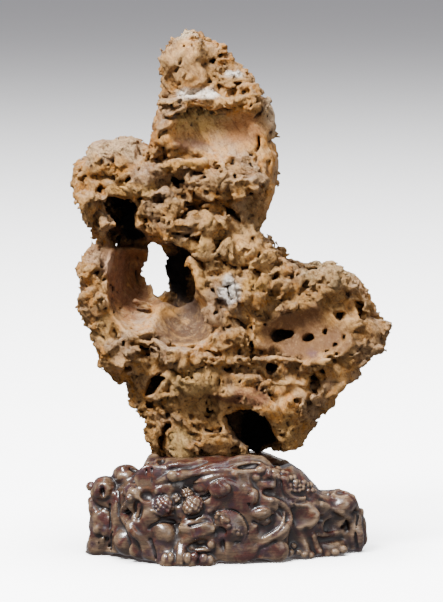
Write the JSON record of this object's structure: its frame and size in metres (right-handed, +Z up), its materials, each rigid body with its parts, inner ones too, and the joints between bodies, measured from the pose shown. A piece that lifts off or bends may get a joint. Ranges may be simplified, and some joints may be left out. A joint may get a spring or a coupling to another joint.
{
  "type": "scholars rock on a carved stand",
  "caption": "Upright pitted limestone with caves, ledges and a side lobe, resting in the cut seat of a low hardwood stand carved as roots, knobs and fungus caps.",
  "frame": {"origin": "middle of the stand's flat underside", "axes": "+Z up to the rock's summit; -Y towards the viewer who faces the broad side with the cave on the left; +X to that viewer's right"},
  "size_m": [0.2458, 0.136, 0.3995],
  "materials": {
    "limestone": "matt, pitted, worn smooth in the scoops",
    "dark_hardwood": "waxed and rubbed to a soft polish"
  },
  "bodies": {
    "root": {"rock": "limestone", "stand": "dark_hardwood"}
  },
  "joints": []
}
